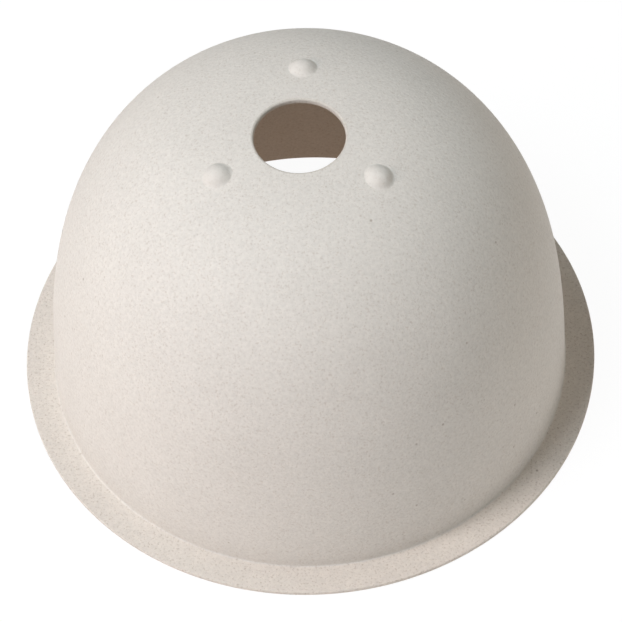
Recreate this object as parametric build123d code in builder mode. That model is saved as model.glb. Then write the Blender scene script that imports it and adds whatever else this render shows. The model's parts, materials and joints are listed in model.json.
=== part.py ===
from build123d import *
from math import cos, radians, sin
import os

# Flower frog: a thin moulded dome that stands on its flat flange, with one round hole at
# its pole for the stems, and three small domed feet let into the crown around that hole.
# Turned over, the same piece stands on the three feet.
#
# Millimetres, +Z up. The origin is the centre of the flange's underside, and the Z axis is
# the axis of the dome. Every size below can be changed by itself.

# Overall sizes
dome_diameter = 134.4  # outside of the wall, where it runs into the flange
dome_height = 92.2  # underside of the flange to the pole of the crown

# Shape of the dome's section: a higher number keeps that side straight for longer
wall_squareness = 2.84
crown_squareness = 2.77
wall_taper = 0.043  # draft: the share of the radius lost between base and pole
section_spans = 11  # stretches between the points that the section's curve goes through

# Walls
flange_thickness = 1.2
base_wall = 1.9
crown_wall = 1.4

# Stem hole
hole_diameter = 22.6
hole_lip_round = 0.35  # its upper edge
hole_under_round = 0.1  # its lower edge

# Flange
flange_width = 7.8  # from the wall to the flange's outer edge
neck_round = 0.6  # hollow rounding between the wall and the top of the flange
mouth_round = 0.4  # inner edge of the open base
flange_edge_round = 0.35

# Feet
foot_names = ("back_foot", "front_left_foot", "front_right_foot")
first_foot_angle = 90.0  # about the Z axis, from +X
foot_circle_radius = 22.7  # axis of the dome to the middle of each foot
foot_diameter = 7.0
foot_height = 2.15  # with the part that is let into the crown
foot_side_height = 0.3  # straight side, under the domed top
foot_seat_depth = 0.25  # flat seat cut into the crown
foot_clearance = 0.1  # all round, between a foot and the wall of its seat

# Radii that follow from the sizes above
dome_radius = dome_diameter / 2
flange_radius = dome_radius + flange_width
hole_radius = hole_diameter / 2
foot_radius = foot_diameter / 2
same_place = 0.001  # how near counts as the same place when an edge is picked


def dome_point(radius, height, start, turn):
    """The point (r, z) of a dome's section at a turn of 0 at its base to 90 at its pole."""
    rise = sin(radians(turn)) ** (2 / wall_squareness)
    reach = cos(radians(turn)) ** (2 / crown_squareness) * (1 - wall_taper * rise)
    return radius * reach, start + (height - start) * rise


def turn_at(radius, height, start, reach):
    """The turn at which that section is this far from the axis, found by halving."""
    low, high = 0.0, 90.0
    while high - low > 1e-9:
        middle = (low + high) / 2
        if dome_point(radius, height, start, middle)[0] > reach:
            low = middle
        else:
            high = middle
    return low


def dome_line(radius, height, start):
    """Points of the section, evenly turned, from its base to the edge of the stem hole."""
    last_turn = turn_at(radius, height, start, hole_radius)
    turns = [last_turn * step / section_spans for step in range(section_spans + 1)]
    return [dome_point(radius, height, start, turn) for turn in turns]


def ring(radius, level):
    """The edges of the piece being built that circle the Z axis at this radius and level."""
    circles = edges().filter_by(GeomType.CIRCLE)
    level_circles = circles.filter_by_position(Axis.Z, level - same_place, level + same_place)
    return level_circles.filter_by(lambda edge: abs(edge.radius - radius) < same_place)


# The outer face starts on top of the flange, and the inner one at the open base.
outer_sizes = (dome_radius, dome_height, flange_thickness)
inner_sizes = (dome_radius - base_wall, dome_height - crown_wall, 0.0)
outer_line = dome_line(*outer_sizes)
inner_line = dome_line(*inner_sizes)
lip_level = outer_line[-1][1]
under_level = inner_line[-1][1]

# Each foot stands square to the crown. The floor of its seat is a plane that is tilted with
# the outer face there, sunk into it, and turned about the Z axis to the foot's place.
foot_turn = turn_at(*outer_sizes, foot_circle_radius)
foot_reach, foot_level = dome_point(*outer_sizes, foot_turn)
next_reach, next_level = dome_point(*outer_sizes, foot_turn + same_place)
crown_at_foot = Plane(
    origin=(foot_reach, 0, foot_level),
    x_dir=(foot_reach - next_reach, 0, foot_level - next_level),
    z_dir=(next_level - foot_level, 0, foot_reach - next_reach),
)
seat_floor = crown_at_foot.offset(-foot_seat_depth)
foot_angles = [first_foot_angle + 360 * n / len(foot_names) for n in range(len(foot_names))]
seat_floors = [Plane(Rotation(0, 0, angle) * seat_floor.location) for angle in foot_angles]


# Dome and flange: one moulding, open at its base and at the stem hole
with BuildPart() as dome_shell:
    with BuildSketch(Plane.XZ):
        with BuildLine():
            Spline(*outer_line)
            Line(outer_line[-1], inner_line[-1])
            Spline(*inner_line)
            Line(inner_line[0], (flange_radius, 0))
            Line((flange_radius, 0), (flange_radius, flange_thickness))
            Line((flange_radius, flange_thickness), outer_line[0])
        make_face()
    revolve(axis=Axis.Z)
    fillet(ring(hole_radius, lip_level), hole_lip_round)
    fillet(ring(hole_radius, under_level), hole_under_round)
    fillet(ring(dome_radius, flange_thickness), neck_round)
    fillet(ring(inner_line[0][0], 0), mouth_round)
    fillet(ring(flange_radius, 0) + ring(flange_radius, flange_thickness), flange_edge_round)
    with BuildSketch(*seat_floors):
        Circle(foot_radius + foot_clearance)
    extrude(amount=foot_height, mode=Mode.SUBTRACT)

dome_shell.part.label = "dome_shell"


# Feet: round pads that stand on the floor of their seats, each with a domed top
dome_rise = foot_height - foot_side_height
dome_ball_radius = (foot_radius**2 + dome_rise**2) / (2 * dome_rise)
feet = []
for foot_name, floor in zip(foot_names, seat_floors):
    with BuildPart(floor) as foot:
        Cylinder(foot_radius, foot_height, align=(Align.CENTER, Align.CENTER, Align.MIN))
        with Locations((0, 0, foot_height - dome_ball_radius)):
            Sphere(dome_ball_radius, mode=Mode.INTERSECT)
    foot.part.label = foot_name
    feet.append(foot.part)


os.makedirs("parts", exist_ok=True)
for piece in [dome_shell.part, *feet]:
    export_step(piece, f"parts/{piece.label}.step")
    print(piece.label, "volume", round(piece.volume), "mm3")
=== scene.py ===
# %% [markdown]
# # A moulded flower frog
# The object is a thin dome that stands on a flat flange, like an upturned bowl with a brim.
# A round hole at its pole holds the stems, and three small domed feet sit round the hole.
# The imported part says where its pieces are, in metres, and nothing here moves them. Sizes
# that its boxes and mounts don't tell are named here in millimetres. The cells build smooth
# meshes that stand for its solids, then their finish, then the studio.

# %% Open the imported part
import bpy
import json
import math
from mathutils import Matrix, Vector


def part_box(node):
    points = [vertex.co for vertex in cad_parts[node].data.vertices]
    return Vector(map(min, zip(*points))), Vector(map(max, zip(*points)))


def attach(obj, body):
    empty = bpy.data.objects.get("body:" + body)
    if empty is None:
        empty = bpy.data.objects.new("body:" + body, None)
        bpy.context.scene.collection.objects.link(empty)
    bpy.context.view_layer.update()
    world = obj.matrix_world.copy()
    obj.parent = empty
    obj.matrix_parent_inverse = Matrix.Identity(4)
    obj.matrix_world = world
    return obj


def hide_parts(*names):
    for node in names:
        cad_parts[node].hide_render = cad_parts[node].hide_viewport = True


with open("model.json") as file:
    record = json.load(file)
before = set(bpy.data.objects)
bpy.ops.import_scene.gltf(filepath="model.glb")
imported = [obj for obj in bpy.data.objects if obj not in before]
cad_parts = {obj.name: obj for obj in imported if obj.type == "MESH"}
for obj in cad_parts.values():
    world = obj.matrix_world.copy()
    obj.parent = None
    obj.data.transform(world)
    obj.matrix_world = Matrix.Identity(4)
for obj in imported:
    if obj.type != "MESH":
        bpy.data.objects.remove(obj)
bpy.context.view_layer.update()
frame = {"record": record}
shell_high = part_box("dome_shell")[1]
mounts = {mount["name"]: mount for mount in frame["record"]["mounts"]}
millimetre = 0.001


# %% [markdown]
# ## Camera
# The camera looks down at the dome from the front, a little from the right, through a long
# lens, so that the round flange stays almost a true ellipse. It is also turned a few
# degrees about its own line of sight, which leans the dome to the left. It comes first,
# because every later cell is judged through it.

# %% Place the camera
camera_azimuth = math.radians(4.09)
camera_elevation = math.radians(54.22)
camera_roll = math.radians(2.76)
camera_distance = 0.930
camera_lens = 206.7
camera_sight = 10
aim_height = 18.6 * millimetre
aim_side = 0.74 * millimetre

bpy.ops.object.camera_add()
camera = bpy.context.object
camera.name = "studio_camera"
aim = (aim_side * math.cos(camera_azimuth), aim_side * math.sin(camera_azimuth), aim_height)
level_distance = camera_distance * math.cos(camera_elevation)
camera.location = (
    aim[0] + level_distance * math.sin(camera_azimuth),
    aim[1] - level_distance * math.cos(camera_azimuth),
    aim[2] + camera_distance * math.sin(camera_elevation),
)
camera.rotation_euler = (math.pi / 2 - camera_elevation, 0, camera_azimuth)
camera.rotation_euler.rotate_axis("Z", -camera_roll)
camera.data.lens = camera_lens
camera.data.clip_end = camera_sight
bpy.context.scene.camera = camera
print("camera stands", round(camera.location.z, 3), "m up")


# %% [markdown]
# ## The line of the wall
# The dome is neither a ball nor a cylinder: its wall stays almost upright, turns over a
# broad shoulder and flattens at the crown. A ball could be pulled into that shape by hand,
# but it would keep small flats and dents. One formula, a squared-off ellipse with a little
# draft, gives a line without any. The same formula, with a smaller radius and height, gives
# the inside, and that makes the wall.

# %% Sizes of the shell and the formula of its section
flange_radius = shell_high.x
dome_radius = 67.2 * millimetre
dome_height = 92.2 * millimetre
hole_radius = mounts["stem_hole"]["dims"]["r_mm"] * millimetre
flange_thickness = mounts["flange_top"]["pos_m"][2]
base_wall = 1.9 * millimetre
crown_wall = 1.4 * millimetre
wall_squareness = 2.84
crown_squareness = 2.77
wall_taper = 0.043
line_steps = 20000


def dome_point(radius, height, start, turn):
    """The point (r, z) of a dome's section at a turn of 0 at its base to 1 at its pole."""
    rise = math.sin(turn * math.pi / 2) ** (2 / wall_squareness)
    reach = math.cos(turn * math.pi / 2) ** (2 / crown_squareness) * (1 - wall_taper * rise)
    return radius * reach, start + (height - start) * rise


def section_line(radius, height, start):
    """A dome's section as a line of closely spaced points, from its base to its pole."""
    turns = [step / line_steps for step in range(line_steps + 1)]
    return [dome_point(radius, height, start, turn) for turn in turns]


def nearest_reach(line, reach):
    """The point of that line at this distance from the axis."""
    return min(line, key=lambda point: abs(point[0] - reach))


def spaced(line, lowest, nearest, gap):
    """Points of that line about one gap apart, from a height up to a distance from the axis."""
    kept = []
    for point in line:
        if point[1] > lowest and point[0] > nearest:
            if not kept or math.dist(kept[-1], point) >= gap:
                kept.append(point)
    return kept


outer_line = section_line(dome_radius, dome_height, flange_thickness)
inner_line = section_line(dome_radius - base_wall, dome_height - crown_wall, 0)
print("the crown meets the hole at", round(nearest_reach(outer_line, hole_radius)[1], 4), "m")


# %% [markdown]
# ## Rounded corners
# Moulded edges are never sharp, and a light catches each rounding as a thin line. A Bevel
# modifier would give every edge the same width, so instead an arc with its own radius
# replaces each corner of the section. A point held a little way off each end of the arc
# keeps the shading of the flat beside it flat, as a holding edge does in a bevel.

# %% A helper that rounds one corner
hold_gap = 0.1 * millimetre


def rounded(before, corner, after, radius, steps):
    """Points of an arc in place of the corner between two straight stretches."""
    to_before = [(b - c) / math.dist(before, corner) for b, c in zip(before, corner)]
    to_after = [(a - c) / math.dist(after, corner) for a, c in zip(after, corner)]
    half = math.acos(sum(b * a for b, a in zip(to_before, to_after))) / 2
    middle = [b + a for b, a in zip(to_before, to_after)]
    reach = radius / math.sin(half) / math.hypot(*middle)
    centre = [c + m * reach for c, m in zip(corner, middle)]
    cut = radius / math.tan(half)
    start, end = (
        math.atan2(c[1] + side[1] * cut - centre[1], c[0] + side[0] * cut - centre[0])
        for c, side in ((corner, to_before), (corner, to_after))
    )
    sweep = (end - start + math.pi) % (2 * math.pi) - math.pi
    angles = [start + sweep * step / steps for step in range(steps + 1)]
    arc = [(centre[0] + radius * math.cos(a), centre[1] + radius * math.sin(a)) for a in angles]
    held_before = tuple(c + b * (cut + hold_gap) for c, b in zip(corner, to_before))
    held_after = tuple(c + a * (cut + hold_gap) for c, a in zip(corner, to_after))
    return [held_before, *arc, held_after]


print("each rounding is held", round(hold_gap / millimetre, 2), "mm beyond its arc")


# %% [markdown]
# ## The whole section
# The section runs up the inside of the hole, down the outer face, over the neck, round the
# flange and back up the inner face. Its points lie closer together where it curves most.

# %% Put the section together
lip_round = 0.6 * millimetre
under_round = 0.1 * millimetre
neck_round = 0.6 * millimetre
mouth_round = 0.4 * millimetre
edge_round = 0.35 * millimetre
wide_steps = 8  # faces across the roundings that show most
edge_steps = 6
under_steps = 3
section_gap = 1.5 * millimetre
corner_room = 1.0 * millimetre

over_neck = flange_thickness + neck_round + corner_room
near_hole = hole_radius + lip_round + corner_room
outer_points = spaced(outer_line, over_neck, near_hole, section_gap)
inner_points = spaced(inner_line, corner_room, near_hole, section_gap)
lip_corner = nearest_reach(outer_line, hole_radius)
under_corner = nearest_reach(inner_line, hole_radius)
neck_corner = outer_line[0]
top_edge = (flange_radius, flange_thickness)
low_edge = (flange_radius, 0)
mouth_corner = inner_line[0]
section = [
    *rounded(under_corner, lip_corner, outer_points[-1], lip_round, wide_steps),
    *reversed(outer_points),
    *rounded(outer_points[0], neck_corner, top_edge, neck_round, wide_steps),
    *rounded(neck_corner, top_edge, low_edge, edge_round, edge_steps),
    *rounded(top_edge, low_edge, mouth_corner, edge_round, edge_steps),
    *rounded(low_edge, mouth_corner, inner_points[0], mouth_round, edge_steps),
    *inner_points,
    *rounded(inner_points[-1], under_corner, lip_corner, under_round, under_steps),
]
print("the section has", len(section), "points")


# %% [markdown]
# ## Spinning a section
# A Screw modifier could turn the section too, but spin is what one would do by hand: a
# vertex is extruded from point to point until it has drawn the section, and the section is
# spun a full turn. One that runs right round is closed first. Spin joins its own start and
# end, but a section that meets the axis leaves many points in one place there, so doubled
# points are merged, and then the faces are made to point outwards.

# %% A helper that spins a section
merge_gap = 0.001 * millimetre


def spun(name, points, steps, runs_round):
    """A shell from a section (r, z), spun about the Z axis."""
    bpy.ops.object.select_all(action="DESELECT")
    bpy.ops.mesh.primitive_plane_add(size=millimetre)
    piece = bpy.context.object
    piece.name = piece.data.name = name
    bpy.ops.object.mode_set(mode="EDIT")
    bpy.ops.mesh.merge(type="CENTER")
    bpy.ops.transform.translate(value=(points[0][0], 0, points[0][1]))
    for before, after in zip(points, points[1:]):
        step = (after[0] - before[0], 0, after[1] - before[1])
        bpy.ops.mesh.extrude_vertices_move(TRANSFORM_OT_translate={"value": step})
    if runs_round:
        bpy.ops.mesh.select_all(action="DESELECT")
        bpy.ops.mesh.select_mode(type="VERT")
        bpy.ops.object.mode_set(mode="OBJECT")
        piece.data.vertices[0].select = True
        piece.data.vertices[len(points) - 1].select = True
        bpy.ops.object.mode_set(mode="EDIT")
        bpy.ops.mesh.edge_face_add()
    bpy.ops.mesh.select_all(action="SELECT")
    bpy.ops.mesh.spin(steps=steps, angle=2 * math.pi, center=(0, 0, 0), axis=(0, 0, 1))
    bpy.ops.mesh.select_all(action="SELECT")
    bpy.ops.mesh.remove_doubles(threshold=merge_gap)
    bpy.ops.mesh.normals_make_consistent(inside=False)
    bpy.ops.object.mode_set(mode="OBJECT")
    bpy.ops.object.shade_smooth()
    return piece


# %% Spin the dome and its flange
faces_round_dome = 256
dome = spun("dome", section, faces_round_dome, runs_round=True)
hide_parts("dome_shell")
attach(dome, "root")
print("the dome has", len(dome.data.polygons), "faces")


# %% [markdown]
# ## Feet
# Each foot is a low round button that stands square to the crown. Its side flares out at
# the bottom in a hollow rounding, and the flare ends just under the face of the crown, so
# that the button grows out of the dome as a moulded one does. Joining it to the dome with a
# Boolean would cut up the dome's even faces, so it stays a piece of its own.

# %% Draw the section of a foot
button_radius = 3.2 * millimetre
foot_height = 2.15 * millimetre
foot_side = 0.3 * millimetre
foot_seat = 0.25 * millimetre
flare_reach = 0.65 * millimetre
flare_top = 0.95 * millimetre
flare_low = 0.13 * millimetre
cap_steps = 14
flare_steps = 8

ball_rise = foot_height - foot_side
ball_radius = (button_radius**2 + ball_rise**2) / (2 * ball_rise)
ball_centre = foot_height - ball_radius
cap_turn = math.acos((flare_top - ball_centre) / ball_radius)
cap = [
    (
        ball_radius * math.sin(cap_turn * step / cap_steps),
        ball_centre + ball_radius * math.cos(cap_turn * step / cap_steps),
    )
    for step in range(cap_steps + 1)
]
flare_end = (button_radius + flare_reach, flare_low)


def flare_point(share):
    """A point on the hollow curve that leaves the cap along its slope and ends level."""
    slope = math.tan(cap_turn)
    bend = (cap[-1][0] + (cap[-1][1] - flare_low) / slope, flare_low)
    weights = ((1 - share) ** 2, 2 * share * (1 - share), share**2)
    corners = (cap[-1], bend, flare_end)
    return tuple(sum(w * corner[k] for w, corner in zip(weights, corners)) for k in range(2))


flare = [flare_point(step / flare_steps) for step in range(1, flare_steps + 1)]
foot_section = [*cap, *flare, (flare_end[0], 0), (0, 0)]
print("a foot is", round(2 * flare_end[0] / millimetre, 2), "mm across its flare")


# %% [markdown]
# ## Setting the feet
# The button is spun once, at the origin. The crown's slope comes from two points of the
# dome's line, one on each side of the foot. Each copy is tilted by that slope, moved out,
# turned to its place about the axis, and then keeps that place in its own mesh.

# %% Spin one foot and set three copies on the crown
foot_circle = 22.7 * millimetre
first_foot_turn = math.radians(90)
foot_nodes = ("back_foot", "front_left_foot", "front_right_foot")
faces_round_foot = 64

foot_place = nearest_reach(outer_line, foot_circle)
further_out = nearest_reach(outer_line, foot_circle + millimetre)
nearer_in = nearest_reach(outer_line, foot_circle - millimetre)
tilt = math.atan2(nearer_in[1] - further_out[1], further_out[0] - nearer_in[0])
floor_reach = foot_place[0] - foot_seat * math.sin(tilt)
floor_level = foot_place[1] - foot_seat * math.cos(tilt)

button = spun("foot_button", foot_section, faces_round_foot, runs_round=False)
feet = []
for count, node in enumerate(foot_nodes):
    bpy.ops.object.select_all(action="DESELECT")
    button.select_set(True)
    bpy.context.view_layer.objects.active = button
    bpy.ops.object.duplicate()
    foot = bpy.context.object
    foot.name = foot.data.name = node.replace("foot", "pad")
    turn = first_foot_turn + count * 2 * math.pi / len(foot_nodes)
    foot.rotation_euler = (0, tilt, turn)
    foot.location = (floor_reach * math.cos(turn), floor_reach * math.sin(turn), floor_level)
    bpy.ops.object.transform_apply(location=True, rotation=True, scale=True)
    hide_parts(node)
    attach(foot, "root")
    feet.append(foot)
bpy.data.objects.remove(button)


# %% [markdown]
# ## A flecked, matt plastic
# The body is pale and matt, with a fine grain, small brownish flecks scattered all through
# it, and here and there one dark speck. A painted image would stretch and show its seams.
# Noise in object coordinates has neither, because it runs through the piece as the flecks
# do. The same pattern serves the dome and its feet, so it is a node group, and its inputs
# are what differs between them.

# %% Open the group with its inputs and outputs
fleck_group = bpy.data.node_groups.new("flecked_plastic", "ShaderNodeTree")
for name, kind, value in (
    ("Plain Color", "NodeSocketColor", (0.8, 0.8, 0.8, 1)),
    ("Fleck Color", "NodeSocketColor", (0.4, 0.3, 0.2, 1)),
    ("Speck Color", "NodeSocketColor", (0.2, 0.15, 0.1, 1)),
    ("Fleck Amount", "NodeSocketFloat", 0.5),
    ("Speck Amount", "NodeSocketFloat", 0.5),
    ("Grain", "NodeSocketFloat", 0.05),
    ("Grain Depth", "NodeSocketFloat", 0.01 * millimetre),
):
    socket = fleck_group.interface.new_socket(name, in_out="INPUT", socket_type=kind)
    socket.default_value = value
for name, kind in (
    ("Color", "NodeSocketColor"),
    ("Roughness", "NodeSocketFloat"),
    ("Normal", "NodeSocketVector"),
):
    fleck_group.interface.new_socket(name, in_out="OUTPUT", socket_type=kind)

given = fleck_group.nodes.new("NodeGroupInput").outputs
made = fleck_group.nodes.new("NodeGroupOutput").inputs
place = fleck_group.nodes.new("ShaderNodeTexCoord").outputs["Object"]
print("the group takes", [socket.name for socket in given if socket.name])


# %% [markdown]
# ## Helpers for nodes
# A pattern is a chain of small steps. By hand one adds a node, types its numbers and draws
# its links. The first helper draws a link or sets a number. Each of the others adds one
# kind of node and gives back its output, so that the cells after them read like the chain.

# %% Helpers that feed a socket and add a node
def feed(tree, socket, value):
    """Link an output to a socket, or set the socket to a number or colour."""
    if isinstance(value, bpy.types.NodeSocket):
        tree.links.new(value, socket)
    else:
        socket.default_value = value


def noise(tree, position, size, detail, roughness):
    """Noise with lumps of about this size, in metres."""
    node = tree.nodes.new("ShaderNodeTexNoise")
    feed(tree, node.inputs["Vector"], position)
    feed(tree, node.inputs["Scale"], 1 / size)
    feed(tree, node.inputs["Detail"], detail)
    feed(tree, node.inputs["Roughness"], roughness)
    return node.outputs["Fac"]


def spread(tree, value, span, new_span):
    """That value, spread from one span (low, high) to another and kept inside it."""
    node = tree.nodes.new("ShaderNodeMapRange")
    feed(tree, node.inputs["Value"], value)
    ends = ("From Min", "From Max", "To Min", "To Max")
    for end, number in zip(ends, (*span, *new_span)):
        feed(tree, node.inputs[end], number)
    return node.outputs["Result"]


def combined(tree, operation, first, second):
    """One value made from two by a Math node."""
    node = tree.nodes.new("ShaderNodeMath")
    node.operation = operation
    feed(tree, node.inputs[0], first)
    feed(tree, node.inputs[1], second)
    return node.outputs["Value"]


def mixed(tree, share, first, second):
    """The first colour turning into the second one as the share rises."""
    node = tree.nodes.new("ShaderNodeMix")
    node.data_type = "RGBA"
    feed(tree, node.inputs["Factor"], share)
    feed(tree, node.inputs["A"], first)
    feed(tree, node.inputs["B"], second)
    return node.outputs["Result"]


# %% [markdown]
# ## Flecks and specks
# The flecks are the peaks of a fine noise. The specks are rarer and rounder, and noise
# can't keep them apart, so they come from a coarse cell pattern: each cell has one dot,
# which shows only if the cell's own random colour says so.

# %% Scatter the flecks and the specks
fleck_size = 0.58 * millimetre
fleck_peaks = (0.55, 0.70)
speck_gap = 6 * millimetre
speck_edge = (0.03, 0.075)
speck_chance = (0.80, 0.86)

fleck_noise = noise(fleck_group, place, fleck_size, detail=2, roughness=0.6)
flecks = spread(fleck_group, fleck_noise, fleck_peaks, (0, 1))
fleck_mask = combined(fleck_group, "MULTIPLY", flecks, given["Fleck Amount"])
flecked = mixed(fleck_group, fleck_mask, given["Plain Color"], given["Fleck Color"])

cells = fleck_group.nodes.new("ShaderNodeTexVoronoi")
feed(fleck_group, cells.inputs["Vector"], place)
feed(fleck_group, cells.inputs["Scale"], 1 / speck_gap)
feed(fleck_group, cells.inputs["Randomness"], 1)
chance = fleck_group.nodes.new("ShaderNodeSeparateColor")
feed(fleck_group, chance.inputs["Color"], cells.outputs["Color"])
dots = spread(fleck_group, cells.outputs["Distance"], speck_edge, (1, 0))
chosen = spread(fleck_group, chance.outputs["Red"], speck_chance, (0, 1))
specks = combined(fleck_group, "MULTIPLY", dots, chosen)
speck_mask = combined(fleck_group, "MULTIPLY", specks, given["Speck Amount"])
specked = mixed(fleck_group, speck_mask, flecked, given["Speck Color"])
print("about one cell in", round(1 / (1 - sum(speck_chance) / 2)), "holds a speck")


# %% [markdown]
# ## Grain and clouds
# The surface is a little uneven. One fine noise serves as grain three times over: it shifts
# the brightness, the roughness and, through a Bump node, the way the light falls. A coarse
# noise adds clouds that are almost too weak to see. True displacement would do the same
# for the grain, at the cost of millions of faces.

# %% Add the grain and the clouds
grain_size = 0.85 * millimetre
cloud_size = 16 * millimetre
noise_span = (0.3, 0.7)
cloud_levels = (0.985, 1.015)
roughness_levels = (0.80, 0.68)

grain_noise = noise(fleck_group, place, grain_size, detail=3, roughness=0.6)
cloud_noise = noise(fleck_group, place, cloud_size, detail=3, roughness=0.55)
grain = spread(fleck_group, grain_noise, noise_span, (-1, 1))
grain_shift = combined(fleck_group, "MULTIPLY", grain, given["Grain"])
clouds = spread(fleck_group, cloud_noise, noise_span, cloud_levels)
toned = fleck_group.nodes.new("ShaderNodeVectorMath")
toned.operation = "SCALE"
feed(fleck_group, toned.inputs["Vector"], specked)
feed(fleck_group, toned.inputs["Scale"], combined(fleck_group, "ADD", grain_shift, clouds))
bump = fleck_group.nodes.new("ShaderNodeBump")
feed(fleck_group, bump.inputs["Height"], grain_noise)
feed(fleck_group, bump.inputs["Distance"], given["Grain Depth"])

feed(fleck_group, made["Color"], toned.outputs["Vector"])
feed(fleck_group, made["Roughness"], spread(fleck_group, grain_noise, noise_span, roughness_levels))
feed(fleck_group, made["Normal"], bump.outputs["Normal"])
print("the fleck pattern has", len(fleck_group.nodes), "nodes")


# %% [markdown]
# ## The finishes
# The dome and the feet are the same plastic. The feet carry fewer flecks and less grain, and
# the inside is a little darker, which is painted shade for the hollow under the dome. The
# shader stays in each material, and the group feeds only what changes over the surface.

# %% Make the finishes
plain_color = (0.80, 0.765, 0.72, 1)
# The inside's darker colour is painted shade for the hollow under the dome.
inside_shade_color = (0.72, 0.68, 0.625, 1)
colors = {
    "Plain Color": plain_color,
    "Fleck Color": (0.48, 0.395, 0.325, 1),
    "Speck Color": (0.30, 0.22, 0.16, 1),
}
body_values = {
    "Fleck Amount": 0.34,
    "Speck Amount": 0.6,
    "Grain": 0.06,
    "Grain Depth": 0.12 * millimetre,
}
foot_values = {
    "Fleck Amount": 0.2,
    "Speck Amount": 0.0,
    "Grain": 0.04,
    "Grain Depth": 0.08 * millimetre,
}


def flecked_finish(name, values):
    """A matt material that takes its colour, roughness and grain from the fleck pattern."""
    finish = bpy.data.materials.new(name)
    finish.use_nodes = True
    tree = finish.node_tree
    shader = tree.nodes["Principled BSDF"]
    pattern = tree.nodes.new("ShaderNodeGroup")
    pattern.node_tree = fleck_group
    for socket, value in values.items():
        feed(tree, pattern.inputs[socket], value)
    feed(tree, shader.inputs["Base Color"], pattern.outputs["Color"])
    feed(tree, shader.inputs["Roughness"], pattern.outputs["Roughness"])
    feed(tree, shader.inputs["Normal"], pattern.outputs["Normal"])
    return finish


body_finish = flecked_finish("matt_flecked_body", colors | body_values)
# The inside's finish carries that painted shade.
inside_shade_finish = flecked_finish("darker_inside", colors | body_values | {"Plain Color": inside_shade_color})
foot_finish = flecked_finish("matt_fewer_flecks_feet", colors | foot_values)
for foot in feet:
    foot.data.materials.append(foot_finish)
print("finishes:", [finish.name for finish in (body_finish, inside_shade_finish, foot_finish)])


# %% [markdown]
# ## Painted shade on the flange
# The flange lies flat in the dome's shade and takes warm light thrown back from the dome, so
# its colour is painted a little browner than the dome's and its flecks stand out more: this
# is painted shade. A second material on its faces would end in a hard line. A mask that
# falls from one to nothing just above the flange turns the dome's plain colour into the
# flange's and brings its flecks up, with no seam. The hollow neck over the flange stays
# pale, so it still draws its thin bright line.

# %% Paint shade on the flange
# The browner colour and stronger flecks are painted shade on the flange's flat face.
flange_shade_color = (0.775, 0.715, 0.655, 1)
flange_shade_flecks = 0.6
mask_low = flange_thickness + 0.02 * millimetre
mask_high = flange_thickness + 0.2 * millimetre

tree = body_finish.node_tree
height = tree.nodes.new("ShaderNodeSeparateXYZ")
feed(tree, height.inputs["Vector"], tree.nodes.new("ShaderNodeTexCoord").outputs["Object"])
# The mask marks where the painted shade goes: the flange, below the neck.
flange_shade_mask = spread(tree, height.outputs["Z"], (mask_low, mask_high), (1, 0))
fleck_amount = spread(tree, flange_shade_mask, (0, 1), (body_values["Fleck Amount"], flange_shade_flecks))
pattern = next(node for node in tree.nodes if node.type == "GROUP")
feed(tree, pattern.inputs["Plain Color"], mixed(tree, flange_shade_mask, plain_color, flange_shade_color))
feed(tree, pattern.inputs["Fleck Amount"], fleck_amount)
print("the flange is browned below", round(mask_high / millimetre, 2), "mm")


# %% [markdown]
# ## Inside and outside
# The inside ends at two narrow roundings, at the mouth and under the hole, which hide the
# change from one finish to the other, so here a second material on its own faces will do.
# The faces are picked by the way they look. Those of the inner wall look towards the axis.
# So do those of the hole, but they keep the outside's finish and are known by their place.

# %% Give the outside and the inside their finishes
dome.data.materials.append(body_finish)
# Faces of the inner wall take the painted shade.
dome.data.materials.append(inside_shade_finish)
for face in dome.data.polygons:
    away = math.hypot(face.center.x, face.center.y)
    outward = (face.normal.x * face.center.x + face.normal.y * face.center.y) / away
    in_the_hole = away < hole_radius + merge_gap
    if outward < 0 and not in_the_hole and face.center.z > mouth_round:
        face.material_index = 1
print("inside faces:", sum(face.material_index for face in dome.data.polygons))


# %% [markdown]
# ## Floor
# The floor is white paper. Looked at, straight or in a reflection, it glows a little under
# full white, and its own shading adds the rest, so it is white in the light and keeps a
# faint shadow round the object. For the light that it throws back it is plain paper, lit
# warmly from below, which is what turns the inside of the dome and the shaded side of the
# flange brown. Lamps strong enough to make plain paper white would bleach the dome.

# %% Lay the floor
floor_size = 3
white = (1, 1, 1, 1)
seen_color = (0.08, 0.08, 0.08, 1)
seen_glow = 0.95
paper_color = (0.8, 0.8, 0.8, 1)
under_glow = (0.205, 0.15, 0.115, 1)


def glowing_paper(tree, color, glow, strength):
    """A matt paper that also glows."""
    matt = tree.nodes.new("ShaderNodeBsdfDiffuse")
    feed(tree, matt.inputs["Color"], color)
    light = tree.nodes.new("ShaderNodeEmission")
    feed(tree, light.inputs["Color"], glow)
    feed(tree, light.inputs["Strength"], strength)
    both = tree.nodes.new("ShaderNodeAddShader")
    feed(tree, both.inputs[0], matt.outputs["BSDF"])
    feed(tree, both.inputs[1], light.outputs["Emission"])
    return both.outputs["Shader"]


def looking(tree):
    """1 for a ray from the camera, from a shiny face or through glass, and 0 for the rest."""
    rays = tree.nodes.new("ShaderNodeLightPath").outputs
    mirrored = combined(tree, "MAXIMUM", rays["Is Camera Ray"], rays["Is Glossy Ray"])
    return combined(tree, "MAXIMUM", mirrored, rays["Is Transmission Ray"])


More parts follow.
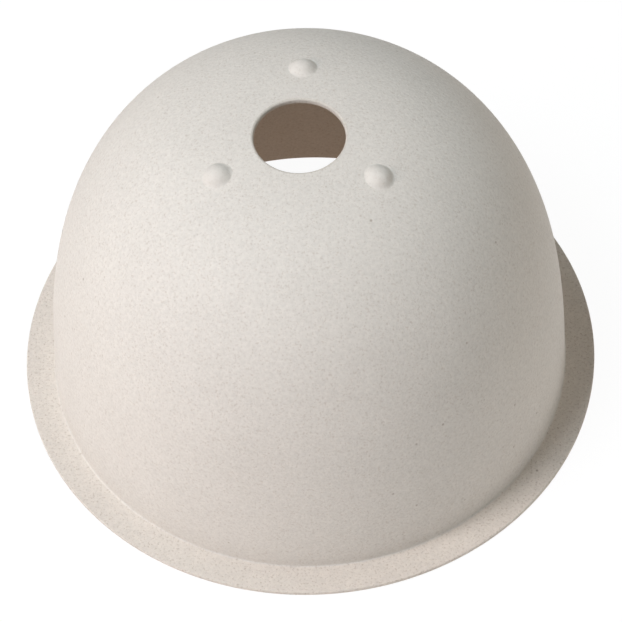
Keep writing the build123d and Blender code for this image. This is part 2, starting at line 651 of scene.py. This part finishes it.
bpy.ops.object.select_all(action="DESELECT")
bpy.ops.mesh.primitive_plane_add(size=floor_size)
floor = bpy.context.object
floor.name = "studio_floor"
paper = bpy.data.materials.new("white_paper")
paper.use_nodes = True
tree = paper.node_tree
tree.nodes.clear()
by_look = tree.nodes.new("ShaderNodeMixShader")
feed(tree, by_look.inputs["Fac"], looking(tree))
feed(tree, by_look.inputs[1], glowing_paper(tree, paper_color, under_glow, 1))
feed(tree, by_look.inputs[2], glowing_paper(tree, seen_color, white, seen_glow))
surface = tree.nodes.new("ShaderNodeOutputMaterial")
feed(tree, surface.inputs["Surface"], by_look.outputs["Shader"])
floor.data.materials.append(paper)
print("the floor is", [round(side, 2) for side in floor.dimensions], "m")


# %% [markdown]
# ## Light
# Two soft lamps on the left, one above the other, make the main light, and it falls off
# slowly round the dome. Weak lamps behind, low on the right and low in front keep the far
# side and the foot of the wall open. All stand on one ball round the object, so each needs
# only a direction, a power and a tint. A sky would light every side alike and leave the
# dome flat.

# %% Hang the lamps
lamp_distance = 1.5
lamp_size = 0.6
lamp_aim = 0.04
lamps = (
    # name, degrees round from the front to the right, degrees up, watts, tint
    ("key_high", 300, 60, 11.7, (0.88, 0.94, 1.0)),
    ("key_low", 300, 35, 7.0, (1.0, 0.80, 0.68)),
    ("back_left", 240, 60, 2.9, (0.80, 0.97, 1.0)),
    ("back_right", 120, 60, 2.9, (1.0, 0.92, 0.80)),
    ("front_low", 330, 12, 1.6, (0.75, 0.88, 1.0)),
    ("right_low", 75, 12, 2.8, (0.98, 1.0, 0.94)),
)
for name, azimuth, elevation, watts, tint in lamps:
    around, up = math.radians(azimuth), math.radians(elevation)
    spot = (
        lamp_distance * math.sin(around) * math.cos(up),
        -lamp_distance * math.cos(around) * math.cos(up),
        lamp_aim + lamp_distance * math.sin(up),
    )
    turned = (math.pi / 2 - up, 0, around)
    bpy.ops.object.light_add(type="AREA", location=spot, rotation=turned)
    lamp = bpy.context.object
    lamp.name = name
    lamp.data.shape = "DISK"
    lamp.data.size = lamp_size
    lamp.data.energy = watts
    lamp.data.color = tint
print("lamps give", round(sum(lamp[3] for lamp in lamps), 1), "W in all")


# %% [markdown]
# ## The white all round
# Past the edge of the floor there is only the world. It is white where it is looked at,
# straight or in a reflection, and dark for all other light, so it doesn't fill the shadows.

# %% Make the world white to look at
world = bpy.data.worlds.new("studio_white")
bpy.context.scene.world = world
world.use_nodes = True
sky = world.node_tree.nodes["Background"]
feed(world.node_tree, sky.inputs["Color"], white)
feed(world.node_tree, sky.inputs["Strength"], looking(world.node_tree))
bpy.context.scene.view_settings.view_transform = "Standard"
print("colours are shown with the", bpy.context.scene.view_settings.view_transform, "view")
